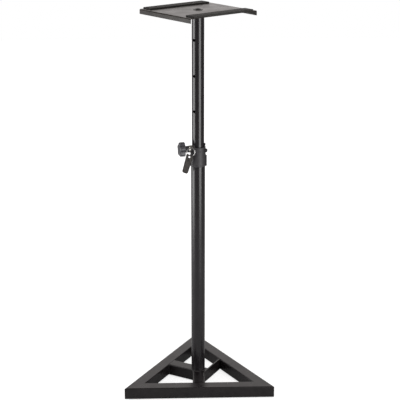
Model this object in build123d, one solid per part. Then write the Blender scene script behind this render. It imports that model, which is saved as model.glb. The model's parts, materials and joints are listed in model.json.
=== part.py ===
from build123d import *
import math
import os

# Telescopic stand for a studio loudspeaker. Millimetres, +Z up.
# The pole stands on the Z axis and the rubber feet stand on z = 0.

# ---- Base frame ----
base_side = 442.0            # outer corner to outer corner of the triangle
rail_size = 35.0             # square tube of the rails and struts
rail_wall = 2.0
rail_edge_radius = 2.5
rail_inner_edge_radius = 1.3
mitre_overrun = 1.2          # how far the mitre cut runs past the corner, as a ratio
brace_thickness = 4.5        # flat bar that ties the struts to the right rail
brace_offset = 28.4          # its outer face, from the pole's axis
foot_thickness = 3.0
foot_radius = 13.0
foot_from_corner = 42.0      # centre of a foot, in from the sharp corner

# ---- Lower tube and its fixing ----
lower_tube_diameter = 40.6
lower_tube_wall = 1.5
lower_tube_length = 701.0
plug_depth = 20.0            # foot plug, inside the lower tube
base_bolt_diameter = 10.0
base_bolt_length = 18.0      # under the head
base_bolt_head_width = 17.0
base_bolt_head_height = 6.4
base_washer_diameter = 24.0
base_washer_thickness = 2.0
access_hole_diameter = 27.0  # in the strut's floor, for the spanner

# ---- Mast ----
mast_diameter = 35.0
mast_wall = 2.0
mast_length = 744.0
mast_above_top_hole = 81.2   # top hole to the mast's upper end
hole_pitch = 101.6
hole_diameter = 8.6
holes_above_pin = 3
holes_below_pin = 2
glide_head_length = 14.0
glide_spigot_length = 18.0
top_plug_length = 25.0

# ---- Collar, measured down from the lower tube's top ----
bush_flange_thickness = 1.6
bush_sleeve_length = 60.0
collar_neck_diameter = 43.6
collar_skirt_diameter = 45.0
collar_neck_length = 22.6
collar_skirt_length = 35.0
collar_shoulder_height = 1.5
collar_edge = 0.6
collar_rib_width = 5.0       # upright rib on the skirt
collar_rib_reach = 25.4
collar_rib_inset = 1.8       # short of the skirt's lower edge
lug_width = 5.0              # small hooked lug that stands on the neck's rim
lug_inner = 18.2             # its near face, from the pole's axis
lug_stem = 1.2
lug_foot = 1.5
lug_hook_bottom = 3.8
lug_hook_reach = 21.4
lug_height = 10.8

# ---- Where things point, degrees round the pole from +X ----
pin_angle = -132.0
knob_angle = -168.0
bush_screw_angle = -79.0
collar_screw_angle = -22.0
rib_angle = -17.0
plate_angle = 37.3

# ---- Locking pin, ring and pull tab ----
pin_diameter = 8.0
pin_above_tube_top = 4.6
pin_end_gap = 0.5            # drawn pin to the mast
pin_guide_diameter = 11.6    # arch on the collar's rim that the pin slides in
pin_guide_reach = 23.0
pin_guide_drop = 8.0         # pin's centre to the arch's foot
pin_shoulder_gap = 3.8       # drawn pin's shoulder to the arch, which stops it
eye_thickness = 2.8
eye_height = 10.0
eye_hole_diameter = 6.0
ring_hang_gap = 0.6          # under the ring's wire, in the eye
ring_wire = 2.2
ring_outer_diameter = 26.6
ring_yaw = 24.0              # the ring hangs turned this far from square to the pin
tab_width = 20.0
tab_end_width = 17.0
tab_length = 57.0
tab_thickness = 3.0
tab_head_thickness = 4.4
tab_head_length = 9.0
tab_lean = 16.0              # degrees round the ring from straight down
tab_window_width = 6.0
tab_window_length = 8.0
tab_channel_gap = 0.35       # round the ring's wire
tab_head_wall = 1.2          # strap inside the ring's wire
tab_end_radius = 5.0
tab_corner_radius = 2.0
tab_head_chamfer = 0.8
tab_window_gap = 0.2         # ring's wire to the window's upper edge
rivet_diameter = 6.0
rivet_shank_diameter = 3.0
rivet_height = 0.8
rivet_from_top = 17.0

# ---- Clamp knob ----
knob_depth_below_tube_top = 5.0
screw_diameter = 8.0
pad_diameter = 7.4
pad_thickness = 2.2
pad_rest_gap = 0.3           # slack pad to the mast
collar_boss_diameter = 21.0
collar_boss_reach = 24.2
insert_flange_diameter = 20.0
insert_flange_thickness = 4.3
insert_spigot_diameter = 12.0
knob_slack = 0.6             # insert's flange to the knob's hub
knob_hub_diameter = 19.0
knob_hub_length = 10.0
knob_thickness = 18.0
knob_lobe_count = 5
knob_lobe_radius = 6.5
knob_outer_diameter = 43.0
knob_edge = 1.5
screw_in_knob = 12.0         # length of screw held in the knob

# ---- Small screws of the collar ----
bush_screw_diameter = 5.0
bush_screw_recess = 0.3      # its end, below the neck's face
bush_screw_depth_below_tube_top = 9.5
collar_screw_diameter = 5.0
collar_screw_depth_below_tube_top = 8.5
collar_screw_boss_diameter = 12.0
collar_screw_boss_reach = 23.8
collar_screw_head_diameter = 10.5
collar_screw_head_height = 3.3

# ---- Top plate ----
plate_across_flanges = 235.0
plate_across_pads = 226.0
plate_thickness = 2.0
flange_height = 13.7         # folded edge, from the plate's top face
bend_radius = 1.5            # inside the fold
strip_width = 36.0           # cushion strips on the plate
strip_thickness = 4.0
strip_inset = 12.0           # short of the folded edges
plate_bolt_diameter = 8.0
plate_bolt_length = 20.0
plate_bolt_head_diameter = 15.0
plate_bolt_head_height = 2.4
plate_washer_diameter = 26.0
plate_washer_thickness = 1.2

# ---- Clearances ----
running_gap = 0.05           # radial, between sliding fits
hole_gap = 0.25              # radial, round a bolt
pin_gap = 0.1                # radial, round the pin and screws
thread_gap = 0.05            # radial, between a thread and its hole
overrun = 5.0                # how far a cut runs past what it cuts

# ---- Worked out ----
base_top = foot_thickness + rail_size
inradius = base_side / (2 * math.sqrt(3))
corner_radius = 2 * inradius
rail_inner = inradius - rail_size
lower_tube_radius = lower_tube_diameter / 2
lower_bore_radius = lower_tube_radius - lower_tube_wall
mast_radius = mast_diameter / 2
mast_bore_radius = mast_radius - mast_wall
tube_top = base_top + lower_tube_length
collar_top = tube_top + bush_flange_thickness
neck_bottom = collar_top - collar_neck_length
collar_bottom = neck_bottom - collar_skirt_length
neck_radius = collar_neck_diameter / 2
skirt_radius = collar_skirt_diameter / 2
pin_height = tube_top + pin_above_tube_top
knob_height = tube_top - knob_depth_below_tube_top
bush_screw_height = tube_top - bush_screw_depth_below_tube_top
collar_screw_height = tube_top - collar_screw_depth_below_tube_top
mast_top = pin_height + holes_above_pin * hole_pitch + mast_above_top_hole
mast_bottom = mast_top - mast_length
plate_top = mast_top + plate_thickness
eye_reach = pin_guide_reach + pin_shoulder_gap + eye_height / 2
ring_radius = (ring_outer_diameter - ring_wire) / 2
insert_outer = collar_boss_reach + insert_flange_thickness
hub_inner = insert_outer + knob_slack
knob_inner = hub_inner + knob_hub_length
pad_face = mast_radius + pad_rest_gap
pad_back = pad_face + pad_thickness

os.makedirs("parts", exist_ok=True)


def out_from_pole(angle, height):
    """A plane on the pole's axis whose Z axis points outward at this angle."""
    direction = Vector(math.cos(math.radians(angle)), math.sin(math.radians(angle)), 0)
    return Plane(origin=(0, 0, height), x_dir=(0, 0, 1), z_dir=direction)


def radial_cylinder(angle, height, radius, start, end):
    """A round bar that points outward from the pole, between two distances from its axis."""
    bar = Pos(0, 0, (start + end) / 2) * Cylinder(radius, end - start)
    return out_from_pole(angle, height).location * bar


def tube_round_z(radius, bore, bottom, top):
    """An upright round tube on the pole's axis."""
    middle = (bottom + top) / 2
    return Pos(0, 0, middle) * (Cylinder(radius, top - bottom) - Cylinder(bore, top - bottom))


def square_tube(length):
    """A square tube along +X from x = 0, standing on the feet's top."""
    outer = RectangleRounded(rail_size, rail_size, rail_edge_radius)
    inner_size = rail_size - 2 * rail_wall
    inner = RectangleRounded(inner_size, inner_size, rail_inner_edge_radius)
    profile = Plane.YZ * (outer - inner)
    return Pos(0, 0, foot_thickness + rail_size / 2) * extrude(profile, length)


def wall_beyond(angle, distance):
    """A big block that fills all space further out than a plane facing this angle."""
    size = 2 * base_side
    return Rot(0, 0, angle) * Pos(distance + size / 2, 0, base_top / 2) * Box(size, size, 4 * base_top)


def save(node, shape):
    """Write one node's STEP file."""
    export_step(shape, f"parts/{node}.step")


# ---- Base frame ----
def rail(angle):
    """One side of the triangle, mitred at both ends, whose outer face looks along the angle."""
    bar = Pos(-base_side / 2, -inradius + rail_size / 2, 0) * square_tube(base_side)
    half = base_side / 2 * mitre_overrun
    depth = -inradius * mitre_overrun
    wedge_face = Polygon((0, 0), (-half, depth), (half, depth), align=None)
    wedge = extrude(wedge_face, 2 * base_top)
    return Rot(0, 0, angle + 90) * (bar & wedge)


save("front_rail", rail(-90))
save("left_rail", rail(150))
save("right_rail", rail(30))

brace_inner = brace_offset - brace_thickness
left_strut = Rot(0, 0, 150) * Pos(-brace_inner, 0, 0) * square_tube(rail_inner + brace_inner)
bolt_hole_radius = base_bolt_diameter / 2 + hole_gap
left_strut -= Pos(0, 0, base_top) * Cylinder(bolt_hole_radius, 2 * overrun)
left_strut -= Pos(0, 0, foot_thickness) * Cylinder(access_hole_diameter / 2, 2 * overrun)
save("left_strut", left_strut)

# The front strut is coped to lie against the left strut's side.
front_strut = Rot(0, 0, -90) * square_tube(rail_inner)
front_strut &= wall_beyond(240, rail_size / 2)
save("front_strut", front_strut)

# The flat bar covers the left strut's end and runs on to the right rail.
brace = Box(brace_thickness, base_side / 2 + rail_size / 2, rail_size,
            align=(Align.MIN, Align.MIN, Align.MIN))
brace = Rot(0, 0, -30) * Pos(brace_inner, -rail_size / 2, foot_thickness) * brace
brace -= wall_beyond(30, rail_inner)
save("right_brace", brace)

feet = []
for corner_angle in (90, 210, 330):
    foot = Pos(corner_radius - foot_from_corner, 0, foot_thickness / 2) * Cylinder(
        foot_radius, foot_thickness)
    feet.append(Rot(0, 0, corner_angle) * foot)
save("rubber_feet", Compound(children=feet))

# ---- Foot plug and bolt ----
foot_plug = tube_round_z(
    lower_bore_radius, base_bolt_diameter / 2 + thread_gap, base_top, base_top + plug_depth)
save("foot_plug", foot_plug)

washer_top = base_top - rail_wall
washer_bottom = washer_top - base_washer_thickness
save("base_washer", tube_round_z(
    base_washer_diameter / 2, bolt_hole_radius, washer_bottom, washer_top))

head = extrude(RegularPolygon(base_bolt_head_width / 2, 6, major_radius=False), base_bolt_head_height)
base_bolt = Pos(0, 0, washer_bottom - base_bolt_head_height) * head
base_bolt += Pos(0, 0, washer_bottom + base_bolt_length / 2) * Cylinder(
    base_bolt_diameter / 2, base_bolt_length)
save("base_bolt", base_bolt)

# ---- Lower tube ----
pin_hole_radius = pin_diameter / 2 + pin_gap
screw_hole_radius = screw_diameter / 2 + pin_gap
cut_end = skirt_radius + overrun
pin_bore = radial_cylinder(pin_angle, pin_height, pin_hole_radius, 0, cut_end)
screw_bore = radial_cylinder(knob_angle, knob_height, screw_hole_radius, 0, insert_outer + overrun)
bush_screw_bore = radial_cylinder(
    bush_screw_angle, bush_screw_height, bush_screw_diameter / 2 + thread_gap,
    mast_radius, cut_end)
collar_screw_bore = radial_cylinder(
    collar_screw_angle, collar_screw_height, collar_screw_diameter / 2 + thread_gap,
    mast_radius, cut_end)

lower_tube = tube_round_z(lower_tube_radius, lower_bore_radius, base_top, tube_top)
lower_tube -= screw_bore
lower_tube -= bush_screw_bore
lower_tube -= collar_screw_bore
save("lower_tube", lower_tube)

# ---- Guide bush: a plastic sleeve in the tube's mouth, with a flange on its rim ----
bush_bore_radius = mast_radius + running_gap
guide_bush = tube_round_z(
    lower_bore_radius, bush_bore_radius, tube_top - bush_sleeve_length, tube_top)
guide_bush += tube_round_z(lower_tube_radius, bush_bore_radius, tube_top, collar_top)
guide_bush -= pin_bore
guide_bush -= screw_bore
save("guide_bush", guide_bush)

# ---- Clamp collar ----
outline = Polyline(
    (lower_tube_radius, collar_bottom),
    (skirt_radius - collar_edge, collar_bottom),
    (skirt_radius, collar_bottom + collar_edge),
    (skirt_radius, neck_bottom - collar_shoulder_height),
    (neck_radius, neck_bottom),
    (neck_radius, collar_top - collar_edge),
    (neck_radius - collar_edge, collar_top),
    (lower_tube_radius, collar_top),
    close=True)
collar = revolve(Plane.XZ * make_face(outline), Axis.Z)
collar_core = Pos(0, 0, (collar_bottom + collar_top) / 2) * Cylinder(
    lower_tube_radius, collar_top - collar_bottom + 4 * overrun)

fittings = radial_cylinder(
    knob_angle, knob_height, collar_boss_diameter / 2, mast_radius, collar_boss_reach)
fittings += radial_cylinder(
    collar_screw_angle, collar_screw_height, collar_screw_boss_diameter / 2,
    mast_radius, collar_screw_boss_reach)
fittings += radial_cylinder(
    pin_angle, pin_height, pin_guide_diameter / 2, mast_radius, pin_guide_reach)
fittings += Rot(0, 0, pin_angle) * Pos(mast_radius, 0, pin_height) * Box(
    pin_guide_reach - mast_radius, pin_guide_diameter, pin_guide_drop,
    align=(Align.MIN, Align.CENTER, Align.MAX))
rib_height = collar_skirt_length - 2 * collar_rib_inset
fittings += Rot(0, 0, rib_angle) * Pos(
    lower_tube_radius, 0, collar_bottom + collar_skirt_length / 2) * Box(
    collar_rib_reach - lower_tube_radius, collar_rib_width, rib_height,
    align=(Align.MIN, Align.CENTER, Align.CENTER))
collar += fittings - collar_core

lug_outline = Polygon(
    (lug_inner, 0),
    (neck_radius - collar_edge, 0),
    (neck_radius - collar_edge, lug_foot),
    (lug_inner + lug_stem, lug_foot),
    (lug_inner + lug_stem, lug_hook_bottom),
    (lug_hook_reach, lug_hook_bottom),
    (lug_hook_reach, lug_height),
    (lug_inner, lug_height), align=None)
lug = extrude(Plane.XZ * lug_outline, lug_width / 2, both=True)
collar += Rot(0, 0, rib_angle) * Pos(0, 0, collar_top) * lug

collar -= pin_bore
collar -= radial_cylinder(
    knob_angle, knob_height, insert_spigot_diameter / 2, mast_radius, cut_end)
collar -= bush_screw_bore
collar -= collar_screw_bore
save("clamp_collar", collar)

screw_start = lower_bore_radius + pin_gap
save("bush_screw", radial_cylinder(
    bush_screw_angle, bush_screw_height, bush_screw_diameter / 2,
    screw_start, neck_radius - bush_screw_recess))
collar_screw = radial_cylinder(
    collar_screw_angle, collar_screw_height, collar_screw_diameter / 2,
    screw_start, collar_screw_boss_reach)
collar_screw += radial_cylinder(
    collar_screw_angle, collar_screw_height, collar_screw_head_diameter / 2,
    collar_screw_boss_reach, collar_screw_boss_reach + collar_screw_head_height)
save("collar_screw", collar_screw)

# ---- Threaded insert with a round flange outside the collar's boss ----
insert = radial_cylinder(
    knob_angle, knob_height, insert_spigot_diameter / 2,
    lower_tube_radius + pin_gap, collar_boss_reach)
insert += radial_cylinder(
    knob_angle, knob_height, insert_flange_diameter / 2, collar_boss_reach, insert_outer)
insert -= screw_bore
save("thread_insert", insert)

# ---- Pressure pad: hollowed to the mast's curve ----
pad = radial_cylinder(knob_angle, knob_height, pad_diameter / 2, mast_bore_radius, pad_back)
pad -= Pos(0, 0, knob_height) * Cylinder(pad_face, pad_diameter + overrun)
save("pressure_pad", pad)

# ---- Clamp knob and its screw ----
knob_plane = out_from_pole(knob_angle, knob_height)
lobe_circle = knob_outer_diameter / 2 - knob_lobe_radius
star = Circle(lobe_circle)
for lobe in range(knob_lobe_count):
    star += Rot(0, 0, lobe * 360 / knob_lobe_count) * Pos(lobe_circle, 0) * Circle(knob_lobe_radius)
grip = extrude(star, knob_thickness)
grip_rims = grip.edges().group_by(Axis.Z)[0] + grip.edges().group_by(Axis.Z)[-1]
grip = chamfer(grip_rims, knob_edge)
grip = Pos(0, 0, knob_inner) * grip
hub = Pos(0, 0, hub_inner + knob_hub_length / 2) * Cylinder(knob_hub_diameter / 2, knob_hub_length)
screw_end = knob_inner + screw_in_knob
socket = Pos(0, 0, screw_end / 2) * Cylinder(screw_diameter / 2, screw_end)
save("clamp_knob", knob_plane.location * (grip + hub - socket))
save("clamp_screw", radial_cylinder(
    knob_angle, knob_height, screw_diameter / 2, pad_back, screw_end))

# ---- Locking pin: a round shank with a flat eye ----
pin_plane = out_from_pole(pin_angle, pin_height)
shoulder = eye_reach - eye_height / 2
shank_start = mast_radius + pin_end_gap
shank = Pos(0, 0, (shank_start + shoulder) / 2) * Cylinder(pin_diameter / 2, shoulder - shank_start)
eye_turn = Pos(0, 0, eye_reach) * Rot(90, 0, 0)
eye = eye_turn * Cylinder(eye_height / 2, eye_thickness)
root_length = eye_height / 2
eye += Pos(0, 0, shoulder + root_length / 2) * Box(eye_height, eye_thickness, root_length)
eye -= eye_turn * Cylinder(eye_hole_diameter / 2, 2 * overrun)
save("locking_pin", pin_plane.location * (shank + eye))

# ---- Ring: hangs through the eye with its wire's centre a little below the eye's ----
hang_drop = eye_hole_diameter / 2 - ring_wire / 2 - ring_hang_gap
ring_centre_height = pin_height - hang_drop - ring_radius
ring_angle = pin_angle + ring_yaw
eye_place = (
    eye_reach * math.cos(math.radians(pin_angle)), eye_reach * math.sin(math.radians(pin_angle)))
ring_plane = Plane(
    origin=(eye_place[0], eye_place[1], ring_centre_height),
    x_dir=(-math.sin(math.radians(ring_angle)), math.cos(math.radians(ring_angle)), 0),
    z_dir=(math.cos(math.radians(ring_angle)), math.sin(math.radians(ring_angle)), 0))
save("pull_ring", ring_plane.location * Torus(ring_radius, ring_wire / 2))

# ---- Pull tab: a strap folded round the ring's lower wire, in the ring's plane ----
# Drawn pointing down the plane's -Y, then leaned round the ring's centre.
head_top = -ring_radius + ring_wire / 2 + tab_channel_gap + tab_head_wall
strap_end = head_top - tab_length
strap_outline = Polygon(
    (-tab_width / 2, head_top),
    (tab_width / 2, head_top),
    (tab_end_width / 2, strap_end),
    (-tab_end_width / 2, strap_end), align=None)
strap_outline = fillet(strap_outline.vertices().group_by(Axis.Y)[0], tab_end_radius)
strap_outline = fillet(strap_outline.vertices().group_by(Axis.Y)[-1], tab_corner_radius)
strap = extrude(strap_outline, tab_thickness / 2, both=True)
fold = Pos(0, head_top - tab_head_length / 2, 0) * Box(
    tab_width, tab_head_length, tab_head_thickness)
fold = fillet(fold.edges().filter_by(Axis.Z), tab_corner_radius)
fold_rims = fold.edges().group_by(Axis.Z)[0] + fold.edges().group_by(Axis.Z)[-1]
fold = chamfer(fold_rims, tab_head_chamfer)
window_top = -ring_radius + ring_wire / 2 + tab_window_gap
strap += fold
strap -= Torus(ring_radius, ring_wire / 2 + tab_channel_gap)
strap -= Pos(0, window_top - tab_window_length / 2, 0) * Box(
    tab_window_width, tab_window_length, 2 * overrun)
rivet_y = head_top - rivet_from_top
strap -= Pos(0, rivet_y, 0) * Cylinder(
    rivet_shank_diameter / 2 + thread_gap, 2 * overrun)
lean = Rot(0, 0, -tab_lean)
save("pull_tab", ring_plane.location * lean * strap)

rivet = Pos(0, rivet_y, 0) * Cylinder(rivet_shank_diameter / 2, tab_thickness)
for side in (-1, 1):
    rivet += Pos(0, rivet_y, side * (tab_thickness + rivet_height) / 2) * Cylinder(
        rivet_diameter / 2, rivet_height)
save("tab_rivet", ring_plane.location * lean * rivet)

# ---- Mast tube ----
mast = tube_round_z(mast_radius, mast_bore_radius, mast_bottom, mast_top)
for step in range(-holes_below_pin, holes_above_pin + 1):
    mast -= radial_cylinder(
        pin_angle, pin_height + step * hole_pitch, hole_diameter / 2, 0, mast_radius + overrun)
save("upper_tube", mast)

glide = Pos(0, 0, mast_bottom - glide_head_length / 2) * Cylinder(
    lower_bore_radius - running_gap, glide_head_length)
glide += Pos(0, 0, mast_bottom + glide_spigot_length / 2) * Cylinder(
    mast_bore_radius, glide_spigot_length)
save("mast_glide", glide)

save("top_plug", tube_round_z(
    mast_bore_radius, plate_bolt_diameter / 2 + thread_gap, mast_top - top_plug_length, mast_top))

# ---- Top plate: two opposite edges are folded down ----
outer_bend = bend_radius + plate_thickness
section = Pos(0, -flange_height / 2) * Rectangle(plate_across_flanges, flange_height)
section = fillet(section.vertices().group_by(Axis.Y)[-1], outer_bend)
hollow = Pos(0, -plate_thickness - flange_height / 2) * Rectangle(
    plate_across_flanges - 2 * plate_thickness, flange_height)
hollow = fillet(hollow.vertices().group_by(Axis.Y)[-1], bend_radius)
plate = extrude(Plane.XZ * (section - hollow), plate_across_pads / 2, both=True)
plate_place = Rot(0, 0, plate_angle) * Pos(0, 0, plate_top)
plate_hole_radius = plate_bolt_diameter / 2 + hole_gap
plate = plate_place * plate - Pos(0, 0, plate_top) * Cylinder(plate_hole_radius, 2 * overrun)
save("top_plate", plate)

strip_length = plate_across_flanges - 2 * strip_inset
strip = Box(strip_length, strip_width, strip_thickness)
strip_offset = (plate_across_pads - strip_width) / 2
save("front_strip", plate_place * Pos(0, -strip_offset, strip_thickness / 2) * strip)
save("back_strip", plate_place * Pos(0, strip_offset, strip_thickness / 2) * strip)

washer_face = plate_top + plate_washer_thickness
save("plate_washer", tube_round_z(
    plate_washer_diameter / 2, plate_hole_radius, plate_top, washer_face))
plate_bolt = Pos(0, 0, washer_face - plate_bolt_length / 2) * Cylinder(
    plate_bolt_diameter / 2, plate_bolt_length)
bolt_head = Pos(0, 0, washer_face + plate_bolt_head_height / 2) * Cylinder(
    plate_bolt_head_diameter / 2, plate_bolt_head_height)
bolt_head = fillet(bolt_head.edges().group_by(Axis.Z)[-1], plate_bolt_head_height / 2)
save("plate_bolt", plate_bolt + bolt_head)
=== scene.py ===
# %% [markdown]
# # A telescopic loudspeaker stand
# The stand is mostly black powder-coated steel: a triangle of square tube, a pole in two stages
# and a folded top plate. The solid model already has every piece at its real size, so this
# lesson keeps those pieces and works on what the eye reads as real: paint, softened edges, welds,
# moulded plastic, chrome and a strap. Everything is in metres, with the pole on the Z axis.

# %% Load the frame
import json
import math

import bmesh
import bpy
from mathutils import Matrix, Vector


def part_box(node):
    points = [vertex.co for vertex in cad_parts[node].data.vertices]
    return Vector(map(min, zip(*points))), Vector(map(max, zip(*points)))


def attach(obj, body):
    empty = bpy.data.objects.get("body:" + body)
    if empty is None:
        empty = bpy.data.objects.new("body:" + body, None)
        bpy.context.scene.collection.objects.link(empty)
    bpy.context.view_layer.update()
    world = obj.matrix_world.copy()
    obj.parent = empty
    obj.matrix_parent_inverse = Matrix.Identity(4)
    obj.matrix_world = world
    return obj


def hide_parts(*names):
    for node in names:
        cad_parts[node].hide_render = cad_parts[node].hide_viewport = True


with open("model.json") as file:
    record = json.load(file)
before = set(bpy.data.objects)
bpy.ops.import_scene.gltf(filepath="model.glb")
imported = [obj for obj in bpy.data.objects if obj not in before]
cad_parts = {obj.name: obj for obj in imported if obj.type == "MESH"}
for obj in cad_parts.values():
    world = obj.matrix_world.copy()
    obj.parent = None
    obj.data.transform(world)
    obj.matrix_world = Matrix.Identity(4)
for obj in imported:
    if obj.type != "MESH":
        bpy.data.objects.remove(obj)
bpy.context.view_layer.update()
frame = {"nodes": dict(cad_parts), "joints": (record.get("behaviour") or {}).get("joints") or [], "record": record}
nodes = frame["nodes"]
joints = {joint["name"]: joint for joint in frame["joints"]}
MM = 0.001

# %% [markdown]
# ## A recipe for finishes
# Every finish starts as one Principled shader. Real paint and plastic are never one even tone, so
# the helpers add three kinds of variation, all from noise on Object coordinates: a mottled
# colour, a roughness that wanders a little, and a fine bump. Object coordinates are used because
# all pieces sit at the origin, so the grain has the same size on every piece and stays with it.

# %% Helpers for finishes
materials = {}


def start_finish(name, colour, roughness, metallic=0.0):
    """A material with one Principled shader, kept in the materials table."""
    material = bpy.data.materials.new(name)
    material.use_nodes = True
    shader = material.node_tree.nodes["Principled BSDF"]
    shader.inputs["Base Color"].default_value = (*colour, 1.0)
    shader.inputs["Roughness"].default_value = roughness
    shader.inputs["Metallic"].default_value = metallic
    materials[name] = material
    return material


def noise_on(material, scale, detail, stretch=(1.0, 1.0, 1.0)):
    """Noise that follows the piece's own coordinates, stretched along an axis if asked."""
    tree = material.node_tree
    place = tree.nodes.new("ShaderNodeTexCoord")
    mapping = tree.nodes.new("ShaderNodeMapping")
    mapping.inputs["Scale"].default_value = stretch
    noise = tree.nodes.new("ShaderNodeTexNoise")
    noise.inputs["Scale"].default_value = scale
    noise.inputs["Detail"].default_value = detail
    tree.links.new(place.outputs["Object"], mapping.inputs["Vector"])
    tree.links.new(mapping.outputs["Vector"], noise.inputs["Vector"])
    return noise


def mottle(material, scale, dark, light, stretch=(1.0, 1.0, 1.0)):
    """Lets the colour wander between a dark and a light tone."""
    tree = material.node_tree
    noise = noise_on(material, scale, 4.0, stretch)
    ramp = tree.nodes.new("ShaderNodeValToRGB")
    ramp.color_ramp.elements[0].position = 0.3
    ramp.color_ramp.elements[0].color = (*dark, 1.0)
    ramp.color_ramp.elements[1].position = 0.7
    ramp.color_ramp.elements[1].color = (*light, 1.0)
    tree.links.new(noise.outputs["Fac"], ramp.inputs["Fac"])
    shader = tree.nodes["Principled BSDF"]
    tree.links.new(ramp.outputs["Color"], shader.inputs["Base Color"])


def wander_gloss(material, scale, low, high, stretch=(1.0, 1.0, 1.0)):
    """Lets the roughness wander between two values."""
    tree = material.node_tree
    noise = noise_on(material, scale, 3.0, stretch)
    spread = tree.nodes.new("ShaderNodeMapRange")
    spread.inputs["From Min"].default_value = 0.3
    spread.inputs["From Max"].default_value = 0.7
    spread.inputs["To Min"].default_value = low
    spread.inputs["To Max"].default_value = high
    tree.links.new(noise.outputs["Fac"], spread.inputs["Value"])
    shader = tree.nodes["Principled BSDF"]
    tree.links.new(spread.outputs["Result"], shader.inputs["Roughness"])


def grain(material, scale, strength, depth):
    """A fine bump, with its depth in metres."""
    tree = material.node_tree
    noise = noise_on(material, scale, 2.0)
    bump = tree.nodes.new("ShaderNodeBump")
    bump.inputs["Strength"].default_value = strength
    bump.inputs["Distance"].default_value = depth
    tree.links.new(noise.outputs["Fac"], bump.inputs["Height"])
    shader = tree.nodes["Principled BSDF"]
    tree.links.new(bump.outputs["Normal"], shader.inputs["Normal"])


def duller_below(material, height, fade_over, level):
    """Takes the coat's shine down to a lower level on everything under a height."""
    tree = material.node_tree
    place = tree.nodes.new("ShaderNodeTexCoord")
    split = tree.nodes.new("ShaderNodeSeparateXYZ")
    fade = tree.nodes.new("ShaderNodeMapRange")
    shine = tree.nodes["Principled BSDF"].inputs["Specular IOR Level"]
    fade.inputs["From Min"].default_value = height - fade_over
    fade.inputs["From Max"].default_value = height
    fade.inputs["To Min"].default_value = level
    fade.inputs["To Max"].default_value = shine.default_value
    tree.links.new(place.outputs["Object"], split.inputs["Vector"])
    tree.links.new(split.outputs["Z"], fade.inputs["Value"])
    tree.links.new(fade.outputs["Result"], shine)


print("helpers for finishes are ready")

# %% [markdown]
# ## Powder coat
# Powder coat is melted plastic dust. It is glossy at a glancing angle, and its skin has the
# faint orange peel of the grains it came from, about a millimetre across. A dark base with a
# middling roughness gives soft reflections on the frame, and the tiny bump breaks them up. The
# round tubes are smoother, which draws the long pale stripes on the pole. The plate's coat is
# painted warmer and paler, a painted reflection of the white room that its flat mirrors at a
# glancing angle. Its folded edges are given less shine than the flat, as a coat draws thin on a
# bend. The shine fades over the sheet's own thickness, which hides where the change lies.

# %% Painted finishes
frame_paint = start_finish("frame_paint", (0.008, 0.006, 0.0065), 0.30)
frame_shader = frame_paint.node_tree.nodes["Principled BSDF"]
frame_shader.inputs["Specular IOR Level"].default_value = 0.40
mottle(frame_paint, 60.0, (0.006, 0.0045, 0.005), (0.011, 0.009, 0.0095))
wander_gloss(frame_paint, 35.0, 0.26, 0.36)
grain(frame_paint, 900.0, 0.25, 0.00004)

tube_paint = start_finish("tube_paint", (0.010, 0.009, 0.010), 0.22)
mottle(tube_paint, 45.0, (0.008, 0.007, 0.008), (0.014, 0.012, 0.014), (1.0, 1.0, 0.3))
wander_gloss(tube_paint, 30.0, 0.19, 0.26, (1.0, 1.0, 0.3))
grain(tube_paint, 1000.0, 0.12, 0.00002)

# Painted reflection: the plate's base colour is set paler and warmer than the frame's, standing in for the white
# room mirrored in its flat.
plate_paint_with_painted_reflection = start_finish("plate_paint_with_painted_reflection", (0.022, 0.018, 0.015), 0.30)
mottle(plate_paint_with_painted_reflection, 30.0, (0.017, 0.014, 0.012), (0.030, 0.025, 0.021))
wander_gloss(plate_paint_with_painted_reflection, 25.0, 0.26, 0.36)
grain(plate_paint_with_painted_reflection, 800.0, 0.4, 0.00007)

sheet_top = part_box("top_plate")[1].z
sheet_thickness = 2.0 * MM
fold_shine = 0.13
duller_below(plate_paint_with_painted_reflection, sheet_top, sheet_thickness, fold_shine)
print("paints:", ", ".join(materials))

# %% [markdown]
# ## Plastic, rubber and metal
# The collar is moulded plastic with a spark-eroded texture, so its light is broad and dull.
# The knob is a paler plastic, polished a little by fingers. The strap, the strips and the feet
# are rubber: nearly black, very rough, with a pebbled skin. The ring is chrome. The pin and the
# threaded insert are a duller nickel, and the fasteners inside are zinc plated. A slightly
# wandering roughness keeps all three from looking like glass. Small black screws are oiled steel.

# %% Other finishes
collar_plastic = start_finish("collar_plastic", (0.030, 0.028, 0.031), 0.5)
mottle(collar_plastic, 120.0, (0.024, 0.022, 0.025), (0.038, 0.036, 0.039))
wander_gloss(collar_plastic, 90.0, 0.45, 0.58)
grain(collar_plastic, 1600.0, 0.5, 0.00008)

knob_plastic = start_finish("knob_plastic", (0.058, 0.057, 0.063), 0.36)
mottle(knob_plastic, 90.0, (0.046, 0.045, 0.050), (0.072, 0.071, 0.078))
wander_gloss(knob_plastic, 70.0, 0.30, 0.46)
grain(knob_plastic, 1500.0, 0.3, 0.00005)

strap_rubber = start_finish("strap_rubber", (0.026, 0.023, 0.021), 0.6)
mottle(strap_rubber, 160.0, (0.020, 0.017, 0.015), (0.040, 0.035, 0.031))
grain(strap_rubber, 1300.0, 0.6, 0.00012)

strip_rubber = start_finish("strip_rubber", (0.022, 0.021, 0.020), 0.75)
mottle(strip_rubber, 220.0, (0.015, 0.014, 0.013), (0.034, 0.032, 0.030))
grain(strip_rubber, 1100.0, 0.8, 0.00025)

foot_rubber = start_finish("foot_rubber", (0.015, 0.015, 0.015), 0.8)
mottle(foot_rubber, 200.0, (0.011, 0.011, 0.011), (0.022, 0.022, 0.022))
grain(foot_rubber, 900.0, 0.6, 0.0002)

bush_plastic = start_finish("bush_plastic", (0.02, 0.02, 0.021), 0.45)
mottle(bush_plastic, 150.0, (0.016, 0.016, 0.017), (0.028, 0.028, 0.030))
grain(bush_plastic, 1200.0, 0.3, 0.00005)

chrome = start_finish("chrome", (0.56, 0.55, 0.54), 0.16, 1.0)
mottle(chrome, 140.0, (0.44, 0.43, 0.42), (0.64, 0.63, 0.62))
wander_gloss(chrome, 200.0, 0.12, 0.26)

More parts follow.
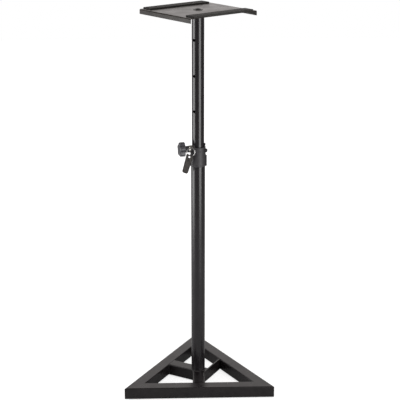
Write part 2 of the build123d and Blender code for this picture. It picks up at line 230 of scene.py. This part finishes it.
dull_nickel = start_finish("dull_nickel", (0.30, 0.29, 0.27), 0.34, 1.0)
mottle(dull_nickel, 120.0, (0.22, 0.21, 0.19), (0.38, 0.37, 0.35))
wander_gloss(dull_nickel, 180.0, 0.28, 0.45)

zinc = start_finish("zinc", (0.55, 0.55, 0.54), 0.35, 1.0)
mottle(zinc, 110.0, (0.46, 0.46, 0.45), (0.64, 0.64, 0.63))
wander_gloss(zinc, 160.0, 0.28, 0.45)

black_steel = start_finish("black_steel", (0.045, 0.045, 0.047), 0.4, 0.6)
mottle(black_steel, 180.0, (0.035, 0.035, 0.037), (0.062, 0.061, 0.060))
wander_gloss(black_steel, 200.0, 0.32, 0.5)
print("finishes:", ", ".join(sorted(materials)))

# %% [markdown]
# ## Dressing the solid pieces
# Most of the steel is right as it stands: straight tubes and turned parts need only their
# finish. So each one is given its material, and the list below doubles as the stand's parts list.

# %% Give each solid its finish
dressing = {
    "frame_paint": ["front_rail", "left_rail", "right_rail", "left_strut", "front_strut",
                    "right_brace"],
    "tube_paint": ["lower_tube", "upper_tube"],
    "plate_paint_with_painted_reflection": ["top_plate"],
    "collar_plastic": ["clamp_collar"],
    "knob_plastic": ["clamp_knob"],
    "bush_plastic": ["guide_bush", "mast_glide", "pressure_pad"],
    "foot_rubber": ["rubber_feet"],
    "strip_rubber": ["front_strip", "back_strip"],
    "strap_rubber": ["pull_tab"],
    "chrome": ["pull_ring"],
    "dull_nickel": ["thread_insert", "locking_pin"],
    "zinc": ["base_bolt", "base_washer", "foot_plug", "top_plug", "clamp_screw"],
    "black_steel": ["bush_screw", "collar_screw", "plate_bolt", "plate_washer", "tab_rivet"],
}


def paint(thing, finish):
    """Puts one finish on every material slot of an object."""
    if not thing.material_slots:
        thing.data.materials.append(materials[finish])
    for place in thing.material_slots:
        place.material = materials[finish]


for finish, names in dressing.items():
    for name in names:
        paint(nodes[name], finish)
print("dressed:", sum(len(names) for names in dressing.values()), "solids")

# %% [markdown]
# ## Softened edges
# A sharp edge in a model is sharper than any edge in a workshop. Where an edge catches the light,
# such as on the plate, the collar, the flat brace and the strap, the solid is copied, its loose
# triangles are merged back into whole faces, and a Bevel modifier rounds what is still sharp. The
# copy keeps the solid's size, so everything still fits.

# %% Helpers for pieces
smooth_under = math.radians(32.0)
round_over = math.radians(35.0)
same_plane = math.radians(0.5)


def shade_by_angle(shape):
    """Smooth faces, with edges kept sharp where they turn more than the smooth angle."""
    for face in shape.faces:
        face.smooth = True
    for edge in shape.edges:
        edge.smooth = edge.calc_face_angle(math.pi) < smooth_under


def finish_piece(shape, name, body, finish):
    """Turns a bmesh into a finished piece that rides on a body."""
    shade_by_angle(shape)
    mesh = bpy.data.meshes.new(name)
    shape.to_mesh(mesh)
    shape.free()
    piece = bpy.data.objects.new(name, mesh)
    bpy.context.scene.collection.objects.link(piece)
    mesh.materials.append(materials[finish])
    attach(piece, body)
    print(name, "has", len(mesh.polygons), "faces")
    return piece


def merged_copy(node):
    """A copy of a solid's mesh with its triangles merged into whole faces."""
    shape = bmesh.new()
    shape.from_mesh(nodes[node].data)
    for layer in list(shape.loops.layers.float_vector.values()):
        shape.loops.layers.float_vector.remove(layer)
    bmesh.ops.remove_doubles(shape, verts=shape.verts, dist=0.000001)
    bmesh.ops.dissolve_limit(
        shape, angle_limit=same_plane, verts=shape.verts, edges=shape.edges)
    return shape


def round_edges(piece, width):
    """A Bevel modifier on the edges that turn more than the rounding angle."""
    bevel = piece.modifiers.new("rounded", "BEVEL")
    bevel.width = width
    bevel.segments = 2
    bevel.limit_method = "ANGLE"
    bevel.angle_limit = round_over
    bevel.use_clamp_overlap = True
    bevel.harden_normals = True


def softened(node, body, finish, width):
    """Replaces a solid by a copy with rounded edges."""
    piece = finish_piece(merged_copy(node), f"{node}_finished", body, finish)
    round_edges(piece, width)
    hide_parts(node)


# %% Plate, collar and brace
softened("top_plate", "mast", "plate_paint_with_painted_reflection", 0.35 * MM)
softened("clamp_collar", "stand_base", "collar_plastic", 0.45 * MM)
softened("right_brace", "stand_base", "frame_paint", 0.4 * MM)

# %% [markdown]
# ## Cushion strips
# Two rubber strips keep the loudspeaker from sliding and from buzzing on the steel. Each is a flat
# block with rounded corners and a soft upper rim, so a cube is pulled to size and bevelled twice.
# The strips lie square to the plate, so their length and width are worked out from the box round
# a turned block. The mount on a strip tells how far the plate is turned.

# %% Cushion strips
mounts = {mount["name"]: mount for mount in frame["record"]["mounts"]}
strip_spot = Vector(mounts["speaker_face"]["pos_m"])
plate_turn = math.atan2(strip_spot.y, strip_spot.x) + math.pi / 2
strip_low, strip_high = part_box("front_strip")
span = strip_high - strip_low
strip_thickness = span.z
turn_cos, turn_sin = abs(math.cos(plate_turn)), abs(math.sin(plate_turn))
strip_length = (span.x * turn_cos - span.y * turn_sin) / (turn_cos ** 2 - turn_sin ** 2)
strip_width = (span.y * turn_cos - span.x * turn_sin) / (turn_cos ** 2 - turn_sin ** 2)
strip_corner = 2.5 * MM
strip_rim = 0.9 * MM
print("strips:", round(strip_length, 4), "by", round(strip_width, 4), "turned",
      round(math.degrees(plate_turn), 1))


def cushion_strip(node):
    """One strip, made lying along X at the origin and then turned into place."""
    shape = bmesh.new()
    bmesh.ops.create_cube(shape, size=1.0)
    bmesh.ops.scale(shape, vec=(strip_length, strip_width, strip_thickness), verts=shape.verts)
    upright = [edge for edge in shape.edges
               if abs(edge.verts[0].co.z - edge.verts[1].co.z) > strip_thickness / 2]
    bmesh.ops.bevel(shape, geom=upright, offset=strip_corner, segments=5, profile=0.5,
                    affect="EDGES", material=-1)
    rim = [edge for edge in shape.edges
           if min(vertex.co.z for vertex in edge.verts) > strip_thickness / 4]
    bmesh.ops.bevel(shape, geom=rim, offset=strip_rim, segments=4, profile=0.5,
                    affect="EDGES", material=-1)
    low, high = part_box(node)
    place = Matrix.Translation((low + high) / 2) @ Matrix.Rotation(plate_turn, 4, "Z")
    bmesh.ops.transform(shape, matrix=place, verts=shape.verts)
    piece = finish_piece(shape, f"{node}_cushion", "mast", "strip_rubber")
    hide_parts(node)


cushion_strip("front_strip")
cushion_strip("back_strip")

# %% [markdown]
# ## Turned shapes and things that point out of the pole
# Knob, screws and rivet are all round about some axis, so each is drawn as half a section and
# spun round Z, as on a lathe. A second helper turns such a piece so that its Z points along a
# level direction from a given start.

# %% Lathe and placing helpers
def lathe(section, segments):
    """Spins a section of (radius, height) points round Z into a closed skin."""
    shape = bmesh.new()
    rim = [shape.verts.new((radius, 0.0, height)) for radius, height in section]
    for here, after in zip(rim, rim[1:]):
        shape.edges.new((here, after))
    bmesh.ops.spin(shape, geom=shape.verts[:] + shape.edges[:], cent=(0, 0, 0), axis=(0, 0, 1),
                   dvec=(0, 0, 0), angle=2 * math.pi, steps=segments, use_merge=True)
    bmesh.ops.remove_doubles(shape, verts=shape.verts, dist=0.000002)
    bmesh.ops.recalc_face_normals(shape, faces=shape.faces)
    return shape


def outward_from(direction, start):
    """A placing that puts a piece's Z along a direction, from a start point, with X up."""
    out = Vector(direction).normalized()
    up = Vector((0, 0, 1))
    side = out.cross(up)
    turn = Matrix((up, side, out)).transposed().to_4x4()
    return Matrix.Translation(start) @ turn


knob_axis = Vector(joints["knob_turn"]["axis"])
knob_height = Vector(joints["knob_turn"]["pos_m"]).z
print("knob looks along", [round(v, 3) for v in knob_axis])

# %% [markdown]
# ## The clamp knob
# The knob is a five-lobed star with a plain hub. Its section is spun first, and then every point
# outside the hub is drawn in where the valleys are. A cosine, raised to a power, makes full lobes
# and narrower valleys, which is how a mould maker cuts them. A shallow ring round the middle is
# the edge of the cap that covers the moulded-in screw. The section starts on the axis at the
# floor of the screw's blind bore, so the spun skin closes and the knob is a sound piece.

# %% Clamp knob: places along its axis in metres, section radii and steps in millimetres
def reach_of(node, axis):
    """How far a solid goes along a level direction: its nearest and furthest point."""
    steps = [Vector(v.co).dot(axis) for v in nodes[node].data.vertices]
    return min(steps), max(steps)


hub_inner, knob_outer = reach_of("clamp_knob", knob_axis)
knob_radius = 21.5 * MM
valley_depth = 6.2 * MM
core_radius = 11.0 * MM
valley_power = 1.3
lobe_count = 5
hub_length = 10.0 * MM
grip_inner = hub_inner + hub_length
bore_radius = 4.2
bore_depth = 12.2
knob_steps = 150
knob_section = [
    (0.0, hub_inner, bore_depth), (bore_radius, hub_inner, bore_depth),
    (bore_radius, hub_inner, 0.0), (8.9, hub_inner, 0.0), (9.5, hub_inner, 0.6),
    (9.5, grip_inner, -1.2), (10.3, grip_inner, -0.3), (11.0, grip_inner, 0.0),
    (17.0, grip_inner, 0.1), (19.0, grip_inner, 0.4), (20.6, grip_inner, 1.2),
    (21.3, grip_inner, 2.2), (21.5, grip_inner, 3.6), (21.5, grip_inner, 9.0),
    (21.5, knob_outer, -4.6), (21.2, knob_outer, -2.6), (20.2, knob_outer, -1.2),
    (18.4, knob_outer, -0.4), (16.0, knob_outer, -0.1), (14.0, knob_outer, 0.0),
    (9.4, knob_outer, 0.0), (9.0, knob_outer, -0.25), (8.8, knob_outer, -1.1),
    (8.3, knob_outer, -1.2), (8.0, knob_outer, -0.5), (5.0, knob_outer, -0.15),
    (0.0, knob_outer, -0.1),
]
knob = lathe([(radius * MM, base + step * MM) for radius, base, step in knob_section], knob_steps)
for vertex in knob.verts:
    radius = Vector(vertex.co[:2]).length
    if radius > core_radius:
        angle = math.atan2(vertex.co.y, vertex.co.x)
        valley = (0.5 - 0.5 * math.cos(lobe_count * angle)) ** valley_power
        share = (radius - core_radius) / (knob_radius - core_radius)
        smaller = (radius - valley_depth * valley * share) / radius
        vertex.co.x *= smaller
        vertex.co.y *= smaller
bmesh.ops.transform(
    knob, matrix=outward_from(knob_axis, Vector((0, 0, knob_height))), verts=knob.verts)
knob_piece = finish_piece(knob, "star_knob", "clamp_knob", "knob_plastic")
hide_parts("clamp_knob")

# %% [markdown]
# ## The split ring
# The pull ring is a split key ring: flat wire wound twice, so a thin dark line runs round it and
# one stepped end shows. A small oval section is spun through almost two turns while it advances
# by its own thickness, which gives the two coils and their ends in a single move.

# %% Split ring
ring_joint = joints["tab_swing"]
ring_centre = Vector(ring_joint["pos_m"])
ring_normal = Vector(ring_joint["axis"])
ring_radius = 12.2 * MM
wire_half = 1.05 * MM
coil_half = 0.50 * MM
coil = bmesh.new()
bmesh.ops.create_circle(coil, cap_ends=True, segments=16, radius=1.0)
bmesh.ops.scale(coil, vec=(wire_half, coil_half, 1.0), verts=coil.verts)
for vertex in coil.verts:
    vertex.co = Vector((ring_radius + vertex.co.x, 0.0, vertex.co.y - coil_half))
coil_steps = 190
turns = 1.94
coil_pitch = 2 * coil_half
ends_at = math.radians(205)
start_cap = coil.faces[:]
bmesh.ops.spin(coil, geom=start_cap, cent=(0, 0, 0), axis=(0, 0, 1),
               dvec=(0, 0, coil_pitch / (coil_steps / turns)), angle=turns * 2 * math.pi,
               steps=coil_steps, use_merge=False, use_duplicate=False)
bmesh.ops.recalc_face_normals(coil, faces=coil.faces)
bmesh.ops.rotate(coil, cent=(0, 0, 0), matrix=Matrix.Rotation(ends_at, 3, "Z"),
                 verts=coil.verts)
bmesh.ops.transform(coil, matrix=outward_from(ring_normal, ring_centre), verts=coil.verts)
ring_piece = finish_piece(coil, "split_ring", "pull_ring", "chrome")
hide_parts("pull_ring")

# %% [markdown]
# ## Screws with a hexagon socket
# Three screws show: a grub screw in the collar's neck, a pan head on its side and the bolt in the
# middle of the plate. Each is turned on the lathe up to the flat of its head. A circle of six
# points becomes the socket's rim, two loops are bridged, and the rim is pushed down and closed.

# %% Socket screws
def middle_of(node):
    """The middle of a solid's corner points, which lies on the axis of a round piece."""
    points = sorted({tuple(round(value, 6) for value in v.co) for v in nodes[node].data.vertices})
    return sum((Vector(point) for point in points), Vector()) / len(points)


def socket_screw(section, socket_radius, depth):
    """A screw along Z whose section ends at its head's flat, with a six-sided socket."""
    shape = lathe(section, 48)
    top = section[-1][1]
    flat_rim = [edge for edge in shape.edges if edge.is_boundary]
    hexagon = bmesh.ops.create_circle(shape, cap_ends=False, segments=6, radius=socket_radius)
    bmesh.ops.translate(shape, vec=(0, 0, top), verts=hexagon["verts"])
    rim = [edge for edge in shape.edges if not edge.link_faces]
    bmesh.ops.bridge_loops(shape, edges=flat_rim + rim)
    pushed = bmesh.ops.extrude_edge_only(shape, edges=rim)["geom"]
    bmesh.ops.translate(shape, vec=(0, 0, -depth),
                        verts=[item for item in pushed if isinstance(item, bmesh.types.BMVert)])
    floor_rim = [item for item in pushed
                 if isinstance(item, bmesh.types.BMEdge) and item.is_boundary]
    bmesh.ops.edgeloop_fill(shape, edges=floor_rim)
    bmesh.ops.recalc_face_normals(shape, faces=shape.faces)
    return shape


screw_shank = 2.5 * MM
head_edge = 0.5 * MM
flat_share = 0.7
screw_socket = 1.6 * MM
socket_depth = 1.8 * MM


def collar_fastener(node, name, head_radius, head_height):
    """A screw that points out of the pole, as long as its solid."""
    middle = middle_of(node)
    out = Vector((middle.x, middle.y, 0)).normalized()
    start, end = reach_of(node, out)
    neck = end - head_height
    section = [(0.0, start), (screw_shank, start), (screw_shank, neck), (head_radius, neck),
               (head_radius, end - head_edge), (head_radius - head_edge, end),
               (head_radius * flat_share, end)]
    screw = socket_screw(section, screw_socket, socket_depth)
    bmesh.ops.transform(screw, matrix=outward_from(out, Vector((0, 0, middle.z))),
                        verts=screw.verts)
    piece = finish_piece(screw, name, "stand_base", "black_steel")
    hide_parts(node)


collar_fastener("collar_screw", "collar_pan_screw", 5.25 * MM, 3.3 * MM)
collar_fastener("bush_screw", "collar_grub_screw", screw_shank, 1.0 * MM)

bolt_head_height = 2.4 * MM
bolt_shank = 4.0 * MM
bolt_head = 7.5 * MM
bolt_low, bolt_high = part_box("plate_bolt")
bolt_neck = bolt_high.z - bolt_head_height
bolt_section = [(0.0, bolt_low.z), (3.2 * MM, bolt_low.z), (bolt_shank, bolt_low.z + 0.8 * MM),
                (bolt_shank, bolt_neck), (bolt_head, bolt_neck), (bolt_head, bolt_neck + 0.7 * MM),
                (6.9 * MM, bolt_neck + 1.5 * MM), (5.8 * MM, bolt_high.z - 0.2 * MM),
                (4.6 * MM, bolt_high.z)]
bolt = socket_screw(bolt_section, 2.9 * MM, 2.0 * MM)
bolt_piece = finish_piece(bolt, "plate_button_bolt", "mast", "black_steel")
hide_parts("plate_bolt")

# %% [markdown]
# ## The pull strap
# The strap is moulded rubber with a raised rim round both faces, which keeps the thin part from
# tearing. The solid already has the thick head and its window, so its copy only gets softer
# edges. Each rim starts as a flat plate of the strap's outline with rounded corners. The plate is
# inset, its middle is taken out, and the band that is left is raised.

# %% Pull strap
softened("pull_tab", "pull_tab", "strap_rubber", 0.4 * MM)
strap_side = Vector((0, 0, 1)).cross(ring_normal).normalized()
strap_turn = Matrix((strap_side, Vector((0, 0, 1)), ring_normal)).transposed().to_4x4()
strap_lean_angle = math.radians(-16.0)
strap_lean = Matrix.Rotation(strap_lean_angle, 4, "Z")
strap_place = Matrix.Translation(ring_centre) @ strap_turn @ strap_lean
strap_face = 1.5 * MM
rim_top, rim_bottom = -19.8 * MM, -65.4 * MM
rim_half_top, rim_half_bottom = 8.7 * MM, 7.5 * MM
rim_sunk = 0.15 * MM
rim_band = 1.2 * MM
rim_height = 0.5 * MM
rim_edge = 0.18 * MM
upper_round, lower_round = 1.6 * MM, 4.2 * MM


def strap_rim(name, side):
    """A raised band round one face of the strap."""
    shape = bmesh.new()
    bmesh.ops.create_grid(shape, x_segments=1, y_segments=1, size=1.0)
    for vertex in shape.verts:
        upper = vertex.co.y > 0
        vertex.co.x *= rim_half_top if upper else rim_half_bottom
        vertex.co.y = rim_top if upper else rim_bottom
        vertex.co.z = strap_face - rim_sunk
    halfway = (rim_top + rim_bottom) / 2
    upper_corners = [vertex for vertex in shape.verts if vertex.co.y > halfway]
    lower_corners = [vertex for vertex in shape.verts if vertex.co.y < halfway]
    for corners, radius in ((upper_corners, upper_round), (lower_corners, lower_round)):
        bmesh.ops.bevel(shape, geom=corners, offset=radius, segments=6, profile=0.5,
                        affect="VERTICES", material=-1)
    middle = shape.faces[:]
    bmesh.ops.inset_region(shape, faces=middle, thickness=rim_band, use_boundary=True,
                           use_even_offset=True)
    bmesh.ops.delete(shape, geom=middle, context="FACES")
    raised = bmesh.ops.extrude_face_region(shape, geom=shape.faces[:])["geom"]
    bmesh.ops.translate(shape, vec=(0, 0, rim_height),
                        verts=[item for item in raised if isinstance(item, bmesh.types.BMVert)])
    bmesh.ops.scale(shape, vec=(1, 1, side), verts=shape.verts)
    bmesh.ops.transform(shape, matrix=strap_place, verts=shape.verts)
    bmesh.ops.recalc_face_normals(shape, faces=shape.faces)
    rim = finish_piece(shape, name, "pull_tab", "strap_rubber")
    round_edges(rim, rim_edge)


strap_rim("strap_rim_front", 1)
strap_rim("strap_rim_back", -1)

# %% [markdown]
# ## The strap's rivet
# A two-part rivet closes the fold of the strap. Each half is a small dished button with a rolled
# rim, so one section with both buttons and the shank between them is spun round once.

# %% Strap rivet
rivet_axis = ring_normal.normalized()
rivet_middle = middle_of("tab_rivet")
rivet_start, rivet_end = reach_of("tab_rivet", rivet_axis)
rivet_half = (rivet_end - rivet_start) / 2 / MM
half_section = [(1.5, 1.5), (3.0, 1.5), (3.0, rivet_half - 0.3), (2.7, rivet_half),
                (2.2, rivet_half), (1.9, rivet_half - 0.3), (0.0, rivet_half - 0.35)]
rivet_section = [(radius, -height) for radius, height in reversed(half_section)] + half_section
rivet = lathe([(radius * MM, height * MM) for radius, height in rivet_section], 36)
bmesh.ops.transform(rivet, matrix=outward_from(rivet_axis, rivet_middle), verts=rivet.verts)
rivet_piece = finish_piece(rivet, "strap_rivet", "pull_tab", "black_steel")
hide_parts("tab_rivet")

# %% [markdown]
# ## Weld beads
# The frame is welded, and a weld is a row of small overlapping puddles. Beads show where two
# faces meet at an inside corner: round the foot of the pole, in the corners of the triangle and
# beside each strut. One small ball is repeated along the line and sunk into the steel.

# %% Weld beads
bead_radius = 1.5 * MM
bead_pitch = 1.6 * MM


def bead(points):
    """A row of small overlapping balls along a list of points."""
    shape = bmesh.new()
    for here in points:
        place = Matrix.Translation(here)
        bmesh.ops.create_icosphere(shape, subdivisions=2, radius=bead_radius, matrix=place)
    return shape


def between(start, end):
    """Evenly spaced points from start to end, a bead's pitch apart."""
    count = round((end - start).length / bead_pitch)
    return [start.lerp(end, step / count) for step in range(count + 1)]


tube_low, tube_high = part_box("lower_tube")
tube_radius = (tube_high.x - tube_low.x) / 2
frame_top = tube_low.z
foot_beads = 80
foot_ring = [Vector((tube_radius * math.cos(a), tube_radius * math.sin(a), frame_top))
             for a in (math.radians(step * 360 / foot_beads) for step in range(foot_beads))]
finish_piece(bead(foot_ring), "pole_foot_weld", "stand_base", "frame_paint")

rail_low, rail_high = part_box("front_rail")
frame_low = rail_low.z
rail_width = rail_high.y - rail_low.y
inradius = -rail_low.y
rail_inner = inradius - rail_width
inner_reach = 2 * rail_inner
end_gap = 3 * MM
corner_sink = 0.6 * MM
rail_sink = 0.5 * MM
strut_gap = 0.4 * MM


def upright_weld(name, foot):
    """A bead up an inside corner, from near the frame's lower face to near its upper face."""
    line = between(foot + Vector((0, 0, frame_low + end_gap)),
                   foot + Vector((0, 0, frame_top - end_gap)))
    finish_piece(bead(line), name, "stand_base", "frame_paint")


def toward(degrees):
    """A level direction of length one."""
    return Vector((math.cos(math.radians(degrees)), math.sin(math.radians(degrees)), 0))


for number, degrees in enumerate((90, 210, 330), 1):
    upright_weld(f"corner_weld_{number}", toward(degrees) * (inner_reach - corner_sink))

for name, degrees in (("left", 150), ("front", -90)):
    for side, turn in (("near", -90), ("far", 90)):
        foot = toward(degrees) * (rail_inner - rail_sink) + toward(degrees + turn) * (
            rail_width / 2 + strut_gap)
        upright_weld(f"{name}_strut_weld_{side}", foot)

# %% [markdown]
# ## The floor
# The stand is shown on plain pale paper that keeps the object's shadow. To the camera the paper
# also glows a little, more with distance, so it runs into the white behind it with no horizon. A
# glow that only the camera sees puts no extra light on the black paint.

# %% Floor
floor_half = 6.0
floor_shape = bmesh.new()
bmesh.ops.create_grid(floor_shape, x_segments=1, y_segments=1, size=floor_half)
floor_mesh = bpy.data.meshes.new("studio_floor")
floor_shape.to_mesh(floor_mesh)
floor_shape.free()
floor = bpy.data.objects.new("studio_floor", floor_mesh)
bpy.context.scene.collection.objects.link(floor)
floor_paper = bpy.data.materials.new("floor_paper")
floor_paper.use_nodes = True
tree = floor_paper.node_tree
paper = tree.nodes["Principled BSDF"]
paper.inputs["Base Color"].default_value = (0.52, 0.52, 0.52, 1.0)
paper.inputs["Roughness"].default_value = 0.9
paper.inputs["Specular IOR Level"].default_value = 0.1
near, far = 0.3, 2.2
near_glow, far_glow = 0.74, 1.0
glow = tree.nodes.new("ShaderNodeEmission")
glow.inputs["Color"].default_value = (1.0, 1.0, 1.0, 1.0)
seen = tree.nodes.new("ShaderNodeLightPath")
spot = tree.nodes.new("ShaderNodeTexCoord")
away = tree.nodes.new("ShaderNodeVectorMath")
away.operation = "LENGTH"
tree.links.new(spot.outputs["Object"], away.inputs[0])
rise = tree.nodes.new("ShaderNodeMapRange")
rise.inputs["From Min"].default_value = near
rise.inputs["From Max"].default_value = far
rise.inputs["To Min"].default_value = near_glow
rise.inputs["To Max"].default_value = far_glow
tree.links.new(away.outputs["Value"], rise.inputs["Value"])
camera_glow = tree.nodes.new("ShaderNodeMath")
camera_glow.operation = "MULTIPLY"
tree.links.new(rise.outputs["Result"], camera_glow.inputs[1])
tree.links.new(seen.outputs["Is Camera Ray"], camera_glow.inputs[0])
tree.links.new(camera_glow.outputs["Value"], glow.inputs["Strength"])
both = tree.nodes.new("ShaderNodeAddShader")
tree.links.new(paper.outputs["BSDF"], both.inputs[0])
tree.links.new(glow.outputs["Emission"], both.inputs[1])
tree.links.new(both.outputs["Shader"], tree.nodes["Material Output"].inputs["Surface"])
floor_mesh.materials.append(floor_paper)
print("floor:", 2 * floor_half, "m each way")

# %% [markdown]
# ## The white room
# All round is white to the camera. As a light the room is calm, so that the black stays black. In
# reflections it is dim in front and bright behind and above, which is what lifts the plate's flat
# at a glancing angle. Its light is a touch warm.

# %% World
world = bpy.data.worlds.new("white_room")
world.use_nodes = True
bpy.context.scene.world = world
tree = world.node_tree
sky = tree.nodes["Background"]
ray = tree.nodes.new("ShaderNodeLightPath")
tone = tree.nodes.new("ShaderNodeMix")
tone.data_type = "RGBA"
tone.inputs["A"].default_value = (1.0, 0.955, 0.94, 1.0)
tone.inputs["B"].default_value = (1.0, 1.0, 1.0, 1.0)
tree.links.new(ray.outputs["Is Camera Ray"], tone.inputs["Factor"])
tree.links.new(tone.outputs["Result"], sky.inputs["Color"])
direction = tree.nodes.new("ShaderNodeTexCoord")
facing = tree.nodes.new("ShaderNodeVectorMath")
facing.operation = "DOT_PRODUCT"
bright_side = (0.0, 0.940, 0.342)
facing.inputs[1].default_value = bright_side
room = tree.nodes.new("ShaderNodeMapRange")
fade_from, fade_to = 0.74, 0.92
dim_reflection, full_reflection = 0.22, 1.0
room.inputs["From Min"].default_value = fade_from
room.inputs["From Max"].default_value = fade_to
room.inputs["To Min"].default_value = dim_reflection
room.inputs["To Max"].default_value = full_reflection
tree.links.new(direction.outputs["Generated"], facing.inputs[0])
tree.links.new(facing.outputs["Value"], room.inputs["Value"])
calm = tree.nodes.new("ShaderNodeMix")
calm.data_type = "FLOAT"
calm_light = 0.30
calm.inputs["A"].default_value = calm_light
tree.links.new(ray.outputs["Is Glossy Ray"], calm.inputs["Factor"])
tree.links.new(room.outputs["Result"], calm.inputs["B"])
white = tree.nodes.new("ShaderNodeMix")
white.data_type = "FLOAT"
white.inputs["B"].default_value = 1.0
tree.links.new(ray.outputs["Is Camera Ray"], white.inputs["Factor"])
tree.links.new(calm.outputs["Result"], white.inputs["A"])
tree.links.new(white.outputs["Result"], sky.inputs["Strength"])
print("room lights at", calm_light, "and mirrors from", dim_reflection, "to", full_reflection)

# %% [markdown]
# ## The lamps
# Two tall soft lamps stand at the sides and look at the pole's middle: each one draws a long pale
# stripe down the pole. A wide lamp overhead gives the soft shadow under the frame. It is kept out
# of reflections, so that it doesn't wash out the plate.

# %% Lamps
lamp_height = 0.66
aim = Vector((0.0, 0.0, lamp_height))


def soft_lamp(name, bearing, distance, height, width, tall, radiance, mirrored=True):
    """A soft box that looks at the pole's middle and is out of the camera's sight."""
    light = bpy.data.lights.new(name, "AREA")
    light.shape = "RECTANGLE"
    light.size = width
    light.size_y = tall
    light.energy = radiance * math.pi * width * tall
    lamp = bpy.data.objects.new(name, light)
    place = Vector((distance * math.cos(math.radians(bearing)),
                    distance * math.sin(math.radians(bearing)), height))
    lamp.location = place
    lamp.rotation_euler = (aim - place).to_track_quat("-Z", "Y").to_euler()
    lamp.visible_camera = False
    lamp.visible_glossy = mirrored
    bpy.context.scene.collection.objects.link(lamp)
    print(name, "gives", round(light.energy, 1), "W")


soft_lamp("left_soft_box", 185.0, 1.5, lamp_height, 1.25, 1.30, 4.8)
soft_lamp("right_soft_box", -55.0, 1.7, lamp_height, 1.05, 1.30, 5.2)
soft_lamp("top_soft_box", -80.0, 0.3, 3.2, 2.2, 2.2, 1.5, mirrored=False)

# %% [markdown]
# ## The camera
# The view is a long lens from half a metre above the plate, looking down at the base. Its height,
# tilt and lens are kept as plain values. The stand fills almost the whole height of the frame.

# %% Camera
camera_place = (-0.1003, -3.1920, 1.6038)
camera_down = math.radians(17.80)
camera_turn = math.radians(-1.9)
camera_data = bpy.data.cameras.new("camera")
camera_data.sensor_width = 36.0
camera_data.lens = 103.63
camera = bpy.data.objects.new("camera", camera_data)
camera.location = camera_place
camera.rotation_euler = (math.radians(90.0) - camera_down, 0.0, camera_turn)
bpy.context.scene.collection.objects.link(camera)
bpy.context.scene.camera = camera
bpy.context.scene.view_settings.view_transform = "Standard"
print("camera:", camera_data.lens, "mm lens at", camera_place)
